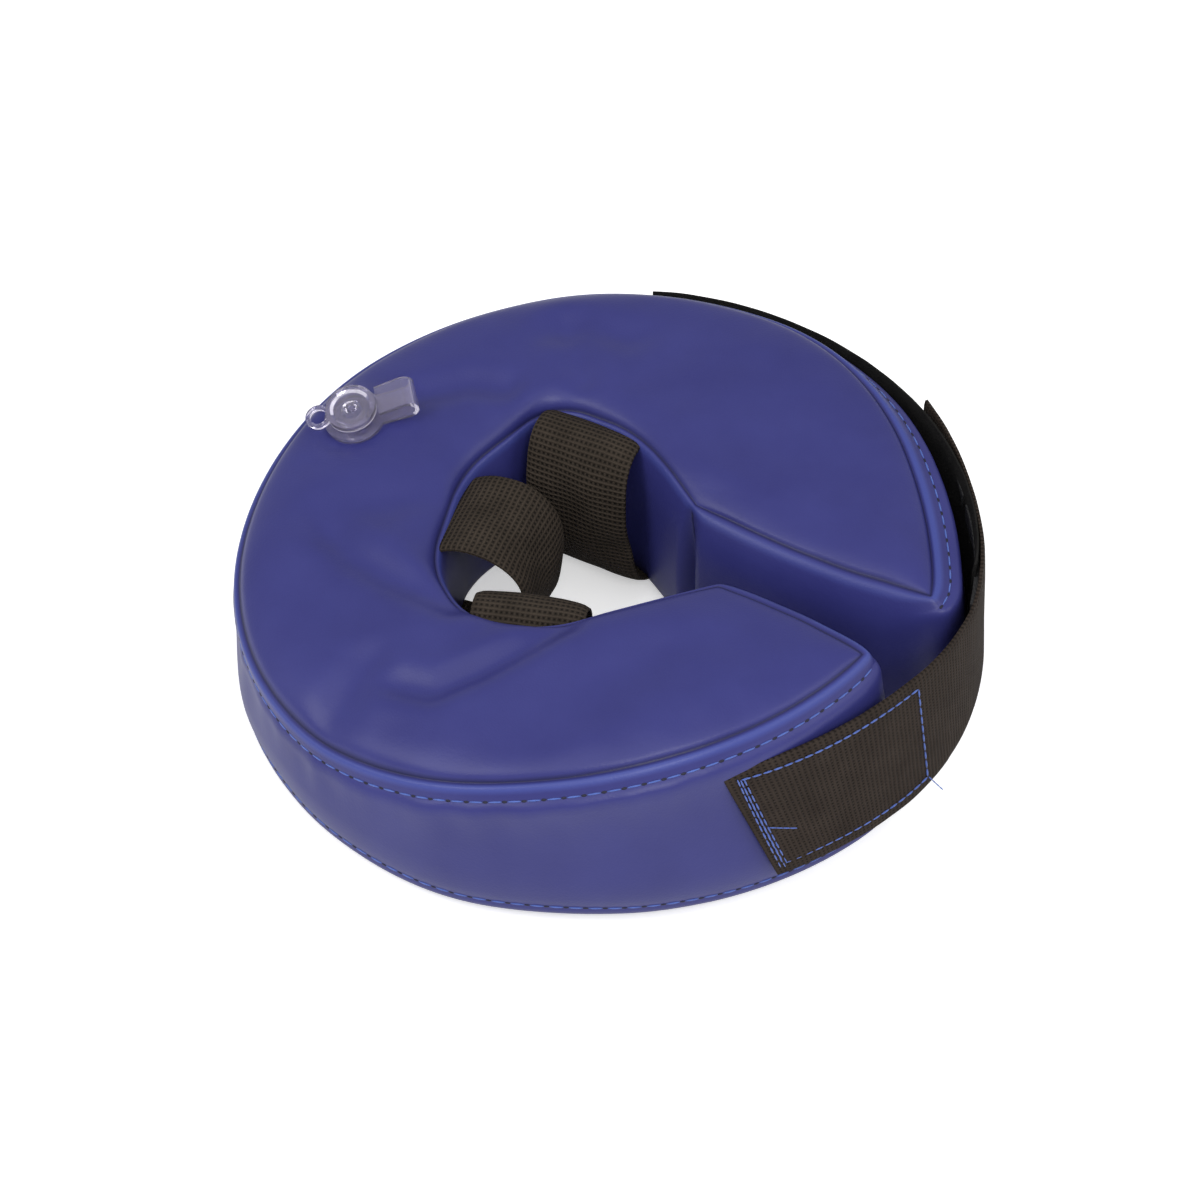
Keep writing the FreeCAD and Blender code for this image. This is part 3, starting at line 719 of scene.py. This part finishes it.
for panel, name in enumerate(PANEL_NAMES):
    piece = take_panel(cover, panel, name)
    piece.data.materials.append(vinyl)
    kind, half = name.split("_")[1], "loop" if "loop" in name else "strap"
    if kind == "end":
        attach(piece, half + "_arm")
        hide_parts(f"end_panel_{half}_arm")
    else:
        part = {"top": "top_panel", "bottom": "bottom_panel"}.get(kind, kind + "_wall")
        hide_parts(f"{part}_{half}_arm", *([part + "_back"] if half == "loop" else []))
        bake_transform(piece)
cover_points = {key: cover.data.vertices[n].co.copy() for key, n in cover_index.items()}
cover_normals = {key: cover.data.vertices[n].normal.copy() for key, n in cover_index.items()}
bpy.data.objects.remove(cover)

# ---------------------------------------------------------------------------------------------
# Top-stitching: light blue thread through the hem under the top seam, and again along the foot
# of the wall. At both ends of each stitch a small dark dot is painted shade for the needle hole.
STITCH_PITCH = 5.0
bpy.ops.object.select_all(action="DESELECT")
bpy.ops.mesh.primitive_uv_sphere_add(segments=8, ring_count=6, radius=1, location=(0, 0, 0))
one_stitch = bpy.context.object
one_stitch.name = "one_stitch"


def grained_material(name, grains, dark, light, bump=None, **settings):
    """Two shades of one colour that drift into each other. `grains` is the scale of the pores and
    of the mottle, and `bump` is what it follows, how strongly, and its depth in metres."""
    material, nodes, links, shader = new_material(name)
    fine = use_grain(nodes, links, *grains)
    links.new(mixed(nodes, links, fine.outputs["Cloud"], dark, light), shader.inputs["Base Color"])
    for word, value in settings.items():
        shader.inputs[word.replace("_", " ")].default_value = value
    if bump:
        use_bump(nodes, links, shader, fine.outputs[bump[0]], *bump[1:])
    return material


thread = grained_material("blue_thread", (2500, 300), (0.040, 0.085, 0.34), (0.080, 0.150, 0.50),
                          ("Height", 0.5, 0.0002), Roughness=0.55, Sheen_Weight=0.2)
# Painted shade: near-black blue for the shade down in each needle hole.
needle_hole_shade = grained_material("needle_hole_shade", (900, 200), (0.004, 0.004, 0.014), (0.010, 0.010, 0.035),
                               Roughness=0.7)


def spaced_line(line, pitch):
    """(place, run, outward) about every `pitch` mm along (place, outward) pairs, in metres."""
    lengths = [(b[0] - a[0]).length for a, b in zip(line, line[1:])]
    total = sum(lengths)
    count = max(1, round(total / (pitch * MM)))
    spaced, leg, passed = [], 0, 0.0
    for k in range(count + 1):
        reach = total * k / count
        while leg < len(lengths) - 1 and passed + lengths[leg] < reach:
            passed += lengths[leg]
            leg += 1
        (a, out_a), (b, out_b) = line[leg], line[leg + 1]
        t = min((reach - passed) / lengths[leg], 1.0) if lengths[leg] else 0.0
        spaced.append((a.lerp(b, t), (b - a).normalized(), out_a.lerp(out_b, t).normalized()))
    return spaced


def sew(name, lines, finish, size, lift, between=True, pitch=STITCH_PITCH):
    """Copies of one stitch along each line: between the pitch points, or on them for holes.
    `size` is half the length, width and height of each and `lift` how far it stands off, in mm."""
    points, faces = [], []
    shape = one_stitch.data
    for line in lines:
        marks = spaced_line(line, pitch)
        for a, b in zip(marks, marks[1:]):
            place, run, out = a
            half_length = size[0]
            if between:
                span = b[0] - a[0]
                place, run, out = a[0].lerp(b[0], 0.5), span.normalized(), (a[2] + b[2]).normalized()
                half_length = size[0] * span.length / (pitch * MM)
            across = out.cross(run).normalized()
            out = run.cross(across)
            start = len(points)
            for corner in shape.vertices:
                points.append(place + MM * (run * corner.co.x * half_length + across * corner.co.y * size[1]
                                            + out * (corner.co.z * size[2] + lift)))
            faces += [[start + v for v in face.vertices] for face in shape.polygons]
    sewn = make_object(name, points, faces)
    sewn.data.polygons.foreach_set("use_smooth", [True] * len(faces))
    sewn.data.materials.append(finish)
    return sewn


for half in ("strap", "loop"):
    seams = []
    for place_down in (TOP_STITCH, FOOT_STITCH):
        seams.append([(cover_points["band", n, place_down], cover_normals["band", n, place_down])
                      for n, (i, j, kind) in enumerate(cover_edge)
                      if kind == "outer" and (row_share(i) < SPLIT_SHARE) == (half == "strap")])
    # The needle holes are dark dots of painted shade, set on the pitch points.
    for part, finish, size, lift, between in (("top_stitching", thread, (1.9, 0.26, 0.28), 0.06, True),
                                              ("needle_holes", needle_hole_shade, (0.75, 0.42, 0.22), 0.02, False)):
        sewn = sew(f"{part}_{half}_half", seams, finish, size, lift, between)
        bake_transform(sewn)

# ---------------------------------------------------------------------------------------------
# Air bladder: one thin film tube inside the cover, from end to end, out of sight. It is made
# in two halves that meet where the cover's halves meet.
film = grained_material("pvc_film", (300, 30), (0.55, 0.58, 0.68), (0.62, 0.64, 0.72),
                        Roughness=0.18, Transmission_Weight=0.6)
NECK_GAP, RIM_GAP = 4, 3.0                   # how far the tube keeps from the hole and the rim, mm
BLADDER_BOTTOM, BLADDER_GAPS = 2.5, 4.5      # its height over the table, and below and above it, mm


def build_bladder(name, first, last, rows, around=20):
    """A closed tube between two shares of the ring's length, with flat ends."""
    points, faces = [], []
    for i in range(rows + 1):
        share = first + (last - first) * i / rows
        a, b = neck_point(share, NECK_INSET + NECK_GAP), rim_point(share, RIM_GAP)
        seams = neck_height(share), rim_height(share)
        for k in range(around):
            turn = tau * k / around
            u = 0.5 + 0.5 * abs(cos(turn)) ** 0.7 * (1 if cos(turn) > 0 else -1)
            v = 0.5 + 0.5 * abs(sin(turn)) ** 0.6 * (1 if sin(turn) > 0 else -1)
            points.append(((a[0] + u * (b[0] - a[0])) * MM, (a[1] + u * (b[1] - a[1])) * MM,
                           (BLADDER_BOTTOM + v * (seams[0] + u * (seams[1] - seams[0]) - BLADDER_GAPS)) * MM))
    for i in range(rows):
        for k in range(around):
            n = (k + 1) % around
            faces.append((i * around + k, i * around + n, (i + 1) * around + n, (i + 1) * around + k))
    faces.append(tuple(range(around)))
    faces.append(tuple(rows * around + k for k in reversed(range(around))))
    tube = make_object(name, points, faces)
    tube.data.polygons.foreach_set("use_smooth", [True] * (len(faces) - 2) + [False] * 2)
    turn_faces_out(tube)
    tube.data.materials.append(film)
    return tube


BLADDER_START, BLADDER_END = 0.012, 0.988    # shares of the ring, just inside the two ends
strap_bladder = build_bladder("bladder_strap_half", BLADDER_START, SPLIT_SHARE, 60)
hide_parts("air_bladder_strap_arm")
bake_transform(strap_bladder)
loop_bladder = build_bladder("bladder_loop_half", SPLIT_SHARE, BLADDER_END, 70)
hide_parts("air_bladder_loop_arm", "air_bladder_back")
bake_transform(loop_bladder)

# ---------------------------------------------------------------------------------------------
# Webbing: strips swept along a path. Each vertex keeps its place on the strip, in mm along and
# across, so that the weave runs with the strip wherever it bends.
EDGE_STARTS, EDGE_THINNING = 0.86, 0.55      # share of the half width where the edge gets thinner


def webbing(name, path, across_at, width, thick, ripple, columns=20, slide=None):
    """A strip with its middle surface on `path` (mm) and its width along across_at(point).
    `ripple` gives how far each place (mm along, -1..1 across) lifts off that surface, and
    `slide` how far it moves along the strip."""
    path = [Vector(p) for p in path]
    points, places, faces = [], [], []
    along_mm = 0.0
    for i, p in enumerate(path):
        if i:
            along_mm += (p - path[i - 1]).length
        run = (path[min(i + 1, len(path) - 1)] - path[max(i - 1, 0)]).normalized()
        across = across_at(p)
        up = run.cross(across).normalized()
        for j in range(columns + 1):
            w = 2 * j / columns - 1
            edge = max(0.0, (abs(w) - EDGE_STARTS) / (1 - EDGE_STARTS))
            half = 0.5 * thick * (1 - EDGE_THINNING * edge ** 2)
            middle = p + across * (0.5 * width * w) + up * ripple(along_mm, w)
            if slide:
                middle += run * slide(along_mm, w)
            for side in (1, -1):
                points.append((middle + up * half * side) * MM)
                places.append((along_mm, 0.5 * width * w, side))
    ring = 2 * (columns + 1)
    for i in range(len(path) - 1):
        for j in range(columns):
            a, b = i * ring + 2 * j, (i + 1) * ring + 2 * j
            faces.append((a, b, b + 2, a + 2))
            faces.append((a + 1, a + 3, b + 3, b + 1))
        a, b = i * ring, (i + 1) * ring
        faces.append((a, a + 1, b + 1, b))
        a, b = a + 2 * columns, b + 2 * columns
        faces.append((a, b, b + 1, a + 1))
    for j in range(columns):
        a, b = 2 * j, (len(path) - 1) * ring + 2 * j
        faces.append((a, a + 2, a + 3, a + 1))
        faces.append((b, b + 1, b + 3, b + 2))
    strip = make_object(name, points, faces)
    strip.data.polygons.foreach_set("use_smooth", [True] * len(faces))
    kept = strip.data.attributes.new("strip_place", "FLOAT_VECTOR", "POINT")
    kept.data.foreach_set("vector", [c for place in places for c in place])
    turn_faces_out(strip)
    bpy.ops.object.shade_smooth_by_angle(angle=radians(50))
    return strip


# Weave: ribs along the strip crossed by yarns, from the strip's own place in mm.
weave = bpy.data.node_groups.new("weave", "ShaderNodeTree")
socket(weave, "Place", "Vector")
socket(weave, "Warp", "Float", 1.2)
socket(weave, "Weft", "Float", 1.2)
socket(weave, "Wander", "Float", 0.3)
socket(weave, "Height", "Float", way="OUTPUT")
socket(weave, "Open", "Float", way="OUTPUT")
nodes, links = weave.nodes, weave.links
taken, given = nodes.new("NodeGroupInput"), nodes.new("NodeGroupOutput")
waver = nodes.new("ShaderNodeTexNoise")
waver.inputs["Scale"].default_value = 0.45
links.new(taken.outputs["Place"], waver.inputs["Vector"])
shift = nodes.new("ShaderNodeVectorMath")
shift.operation = "SCALE"
links.new(waver.outputs["Color"], shift.inputs[0])
links.new(taken.outputs["Wander"], shift.inputs["Scale"])
moved = nodes.new("ShaderNodeVectorMath")
links.new(taken.outputs["Place"], moved.inputs[0])
links.new(shift.outputs["Vector"], moved.inputs[1])
apart = nodes.new("ShaderNodeSeparateXYZ")
links.new(moved.outputs["Vector"], apart.inputs[0])
run_phase = maths(nodes, links, "DIVIDE", apart.outputs["X"], taken.outputs["Warp"])
cross_phase = maths(nodes, links, "DIVIDE", apart.outputs["Y"], taken.outputs["Weft"])
run_wave = maths(nodes, links, "ABSOLUTE",
                 maths(nodes, links, "SINE", maths(nodes, links, "MULTIPLY", run_phase, pi)))
cross_wave = maths(nodes, links, "ABSOLUTE",
                   maths(nodes, links, "SINE", maths(nodes, links, "MULTIPLY", cross_phase, pi)))
links.new(maths(nodes, links, "MAXIMUM", run_wave, maths(nodes, links, "MULTIPLY", cross_wave, 0.8)),
          given.inputs["Height"])
links.new(maths(nodes, links, "MULTIPLY", maths(nodes, links, "SUBTRACT", 1.0, run_wave),
                maths(nodes, links, "SUBTRACT", 1.0, cross_wave)), given.inputs["Open"])


def woven_material(name, yarn, lit_yarn, gap_shade, warp, weft, wander, gap_share, bump_depth):
    """Dull woven yarn, with painted shade in the openings between the strands. `warp` and `weft` are the
    spacing along and across the strip and `wander` how far the yarns stray, in mm."""
    material, nodes, links, shader = new_material(name)
    place = nodes.new("ShaderNodeAttribute")
    place.attribute_name = "strip_place"
    cells = nodes.new("ShaderNodeGroup")
    cells.node_tree = weave
    for word, value in (("Warp", warp), ("Weft", weft), ("Wander", wander)):
        cells.inputs[word].default_value = value
    links.new(place.outputs["Vector"], cells.inputs["Place"])
    speckle = use_grain(nodes, links, 900, 130)
    tone = mixed(nodes, links, speckle.outputs["Cloud"], yarn, lit_yarn)
    lines = nodes.new("ShaderNodeMapRange")
    lines.inputs["From Max"].default_value = gap_share
    lines.inputs["To Min"].default_value = 1.0
    lines.inputs["To Max"].default_value = 0.0
    links.new(cells.outputs["Height"], lines.inputs["Value"])
    # Painted shade: where the yarns' ribs dip, the colour turns to the near-black gap colour.
    links.new(mixed(nodes, links, lines.outputs["Result"], tone, gap_shade), shader.inputs["Base Color"])
    shader.inputs["Roughness"].default_value = 0.8
    shader.inputs["Specular IOR Level"].default_value = 0.12
    use_bump(nodes, links, shader, cells.outputs["Height"], 0.8, bump_depth)
    return material


loop_weave = woven_material("loop_webbing", (0.024, 0.018, 0.013), (0.066, 0.051, 0.039),
                            (0.002, 0.0018, 0.0015), 1.5, 1.4, 0.4, 1.05, 0.0009)

# ---------------------------------------------------------------------------------------------
# Collar loops: three short webbing strips that come out of the neck hole's top seam, arch over
# into the hole and go back into the bottom seam, for the pet's own collar to run through.
LOOP_WIDTH, LOOP_THICKNESS = 30, 1.5
LOOP_ARCH, LOOP_FLOOR = 47.6, 3              # the profile's highest point and its foot, mm
# From the seam over and down again: mm out from the wall of the hole, and mm high.
LOOP_PROFILE = [(-2.0, 43.2), (0.5, 46.0), (4.0, 47.6), (8.5, 46.6), (12.0, 42.6), (14.0, 36),
                (14.6, 27), (13.2, 16), (9.0, 7.5), (3.0, 3.6), (-2.0, 3.2)]
LOOP_HANG = 70                               # length over which a loop is free to ripple, mm


def smooth_path(points, steps):
    """A Catmull-Rom curve through the points."""
    full = [points[0]] + list(points) + [points[-1]]
    curve = []
    for a, b, c, d in zip(full, full[1:], full[2:], full[3:]):
        for k in range(steps):
            t = k / steps
            curve.append(tuple(0.5 * (2 * q + t * (r - p) + t * t * (2 * p - 5 * q + 4 * r - s)
                                      + t ** 3 * (3 * q - p - 3 * r + s))
                               for p, q, r, s in zip(a, b, c, d)))
    return curve + [points[-1]]


def collar_loop(name, x, y, facing, top, body, seed, crease=0.0, slack=1.0, skew=0.0):
    """One loop whose arch is `top` mm high, facing a compass angle in degrees. `slack` draws it out
    into the hole, `crease` hollows its width, and its foot sits `skew` mm to one side of its top."""
    out = Vector((cos(radians(facing)), sin(radians(facing)), 0))
    across = Vector((-out.y, out.x, 0))
    stretch = (top - LOOP_FLOOR) / (LOOP_ARCH - LOOP_FLOOR)
    profile = [(r * slack, LOOP_FLOOR + (z - LOOP_FLOOR) * stretch) for r, z in LOOP_PROFILE]
    path = [Vector((x, y, 0)) + out * r + across * skew * (1 - z / top) + Vector((0, 0, z))
            for r, z in smooth_path(profile, 6)]

    def lift(along_mm, w):
        wavy = 0.9 * noise.noise(Vector((along_mm / 13, w * 1.3, seed)))
        middle = sin(pi * min(along_mm / LOOP_HANG, 1.0))
        return 1.5 * wavy * middle + 1.6 * crease * middle * (0.5 - w * w)

    strip = webbing(name, path, lambda point: across, LOOP_WIDTH, LOOP_THICKNESS, lift)
    strip.data.materials.append(loop_weave)
    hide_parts(name.replace("webbing_", ""))
    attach(strip, body)


collar_loop("webbing_back_loop", -20.2, 37.4, -92, 51.8, "loop_arm", 2.0, 0.6, slack=1.15, skew=5.0)
collar_loop("webbing_side_loop", -42.4, -4, 5, 46.0, "back", 5.0, -0.5, slack=1.75, skew=-9.0)
collar_loop("webbing_front_loop", -6.0, -38.2, 104, 50.8, "strap_arm", 9.0, 0.8)

# ---------------------------------------------------------------------------------------------
# Closure strap: ribbed webbing sewn flat to the strap arm's outside. It crosses the slit and lies
# over the other arm, with its free end standing off. It is made as three lengths that meet end to end.
strap_weave = woven_material("strap_webbing", (0.020, 0.014, 0.011), (0.048, 0.036, 0.029),
                             (0.004, 0.0032, 0.0027), 1.45, 1.0, 0.25, 0.8, 0.0007)
STRAP_WIDTH, STRAP_THICKNESS = 38, 1.6
STRAP_Z = 32.0                               # height of the strap's middle line, mm
# Compass degrees, the strap's radius at that height, and how far it leans in going up, degrees.
STRAP_RADIUS, STRAP_LEAN = 1, 2              # columns of the table
STRAP_TABLE = [(-50, 92.2, 11), (-43, 92.3, 11), (-30, 93.3, 11), (-20, 94.9, 11), (-12, 96.6, 10.5),
               (-5, 98.2, 8), (5, 99.9, 5), (10, 100.4, 4), (34, 100.4, 4), (42, 101.2, 4), (60, 104.2, 4)]
STRAP_START = -43                            # compass degrees of the sewn end
STRAP_SLANT, SLANT_RUN = 7.0, 42             # the sewn end runs askew, up to this far along it, mm


def read_strap(turn, column):
    return read_table(STRAP_TABLE, turn, column, spread=2)


def up_the_strap(point):
    """The way across the strap at a point, which leans in with the wall."""
    out = Vector((point.x, point.y, 0)).normalized()
    lean = tan(radians(read_strap(degrees(atan2(point.y, point.x)), STRAP_LEAN)))
    return Vector((-lean * out.x, -lean * out.y, 1)).normalized()


def strap_path(first, last):
    """The strap's middle line, a point to each compass degree."""
    return [(*polar(read_strap(turn, STRAP_RADIUS), turn), STRAP_Z) for turn in range(first, last + 1)]


def strap_lift(along_mm, w):
    return 0.12 * noise.noise(Vector((along_mm / 9, w * 2, 3.3)))


def strap_slant(along_mm, w):
    return -STRAP_SLANT * w * max(0.0, 1 - along_mm / SLANT_RUN)


BEND_RADIUS, BEND_REACH = 101, 5             # the stretch's radius, mm, and its reach each way, degrees


def strap_bend(turn):
    """The two ends of a stretch of the ring round a compass turn, in metres."""
    ends = (polar(BEND_RADIUS, turn + off) for off in (-BEND_REACH, BEND_REACH))
    return [(x * MM, y * MM, 0) for x, y in ends]


# Name, first and last compass degrees, the bodies before and after its bend, the bend's middle,
# and the nodes it stands for.
STRAP_LENGTHS = [
    ("strap_sewn_length", STRAP_START, -3, "strap_arm", "strap_near", -16,
     ("strap_anchor", "closure_strap_1")),
    ("strap_middle_length", -3, 22, "strap_near", "strap_mid", 10, ("closure_strap_2",)),
    ("strap_free_length", 22, 55, "strap_mid", "strap_end", 34, ("closure_strap_3",)),
]
for name, first, last, before, after, bend, nodes_replaced in STRAP_LENGTHS:
    strap = webbing(name, strap_path(first, last), up_the_strap, STRAP_WIDTH, STRAP_THICKNESS, strap_lift,
                    columns=28, slide=strap_slant if first == STRAP_START else None)
    strap.data.materials.append(strap_weave)
    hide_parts(*nodes_replaced)
    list(strap_bend(bend))
    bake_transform(strap)

# The sewn length is held by a box of the same thread, with more rows by its folded end. Corners
# are compass degrees and mm high.
BOX = [(-41, 16.8), (-9.5, 16.8), (-9.5, 47.6), (-41, 47.6), (-41, 16.8)]
BOX_BEND = STRAP_LENGTHS[0][5]               # the box sits on the first bend
BOX_RADIUS = 97                              # the wall's radius there, mm
BOX_SLANT_END, BOX_SLANT_RUN = -18, 25       # degrees over which the slant fades
END_ROWS = [[(-41.7, 15.5), (-41.4, 48.2)], [(-40.9, 15.0), (-41.0, 47.8)], [(-40.3, 16.2), (-40.5, 48.0)]]


def on_the_strap(turn, z):
    """A point on the strap's outside, and the way out from it."""
    lean = tan(radians(read_strap(turn, STRAP_LEAN)))
    slanted = max(0.0, min(1.0, (BOX_SLANT_END - turn) / BOX_SLANT_RUN))
    skew = STRAP_SLANT * (z - STRAP_Z) / (STRAP_WIDTH / 2) * slanted
    radius = read_strap(turn, STRAP_RADIUS) + STRAP_THICKNESS / 2 - lean * (z - STRAP_Z)
    x, y = polar(radius, turn - degrees(skew / BOX_RADIUS))
    return Vector((x, y, z)) * MM, Vector((x, y, BOX_RADIUS * lean)).normalized()


def strap_line(corners, steps=14):
    """A stitch line's (place, outward) pairs from corner to corner."""
    return [on_the_strap(a[0] + k / steps * (b[0] - a[0]), a[1] + k / steps * (b[1] - a[1]))
            for a, b in zip(corners, corners[1:]) for k in range(steps + 1)]


box_stitching = sew("strap_box_stitching", [strap_line(leg) for leg in [*zip(BOX, BOX[1:]), *END_ROWS]],
                    thread, (1.4, 0.24, 0.28), 0.16, pitch=3.0)
# Loose thread ends: where each starts and how far a step of it goes, in compass degrees and mm
# high. They lift off the strap as they run, by mm.
TAIL_STEPS, TAIL_LIFT, TAIL_RISE = 6, 0.2, 0.4
TAILS = [((-40.2, 30), (0.75, -0.3)), ((-9.3, 16.5), (0.3, -1.2))]
tails = []
for (turn, z), (turn_step, z_step) in TAILS:
    tail = [on_the_strap(turn + k * turn_step, z + k * z_step) for k in range(TAIL_STEPS)]
    tails.append([(place + out * (TAIL_LIFT + TAIL_RISE * k) * MM, out)
                  for k, (place, out) in enumerate(tail)])
loose_ends = sew("loose_thread_ends", tails, thread, (1.0, 0.18, 0.18), 0.1, pitch=1.6)
for sewn in (box_stitching, loose_ends):
    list(strap_bend(BOX_BEND))
    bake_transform(sewn)

# ---------------------------------------------------------------------------------------------
# Hook and loop: the pile strip is sewn round the loop arm and shows past the strap's end; the
# hook tape sits behind the strap.
pile = grained_material("pile_tape", (2600, 220), (0.007, 0.007, 0.007), (0.022, 0.021, 0.020),
                        ("Height", 0.9, 0.0005), Roughness=0.95, Specular_IOR_Level=0.1)
PILE_Z, PILE_WIDTH, PILE_THICKNESS = 33.5, 36, 1.1
PILE_START, PILE_SPAN = 17, 90               # compass degrees
WALL_RADIUS, WALL_LEAN = 99.0, tan(radians(4))        # of the solid wall, at the table


def pile_path_point(step):
    """The strip lies close to the wall at its two ends and stands off a little in between."""
    off = 0.6 + 1.2 * swell(step, 40) * swell(PILE_SPAN + 1 - step, 20)
    return (*polar(WALL_RADIUS - PILE_Z * WALL_LEAN + off, PILE_START + step), PILE_Z)


pile_strip = webbing("pile_tape_strip", [pile_path_point(k) for k in range(PILE_SPAN + 1)],
                     lambda point: Vector((0, 0, 1)), PILE_WIDTH, PILE_THICKNESS,
                     lambda along_mm, w: 0.15 * noise.noise(Vector((along_mm / 8, 2 * w, 7.7))))
pile_strip.data.materials.append(pile)
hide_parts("pile_strip")
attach(pile_strip, "loop_arm")

hooks = grained_material("hook_tape", (1600, 300), (0.010, 0.010, 0.011), (0.035, 0.035, 0.037),
                         ("Height", 0.9, 0.0004), Roughness=0.6)


def repaint(node, material):
    """Gives a CAD node one material."""
    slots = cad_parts[node].data.materials
    slots.clear()
    slots.append(material)


repaint("hook_strip_2", hooks)
repaint("hook_strip_3", hooks)

# ---------------------------------------------------------------------------------------------
# Inflation valve: one soft clear moulding on the back of the top panel, with its cap pressed in,
# the tether curled back to it and a small pull loop.
clear = grained_material("clear_pvc", (500, 90), (0.66, 0.62, 0.80), (0.88, 0.85, 0.94),
                         ("Cloud", 0.3, 0.0004), Roughness=0.07, IOR=1.5, Transmission_Weight=0.94)
rubber = grained_material("flap_rubber", (800, 100), (0.45, 0.45, 0.50), (0.55, 0.55, 0.60), Roughness=0.5)
for node in ("valve_base", "valve_tether", "valve_plug"):
    repaint(node, clear)
repaint("valve_flap", rubber)

bpy.data.objects.remove(one_stitch)
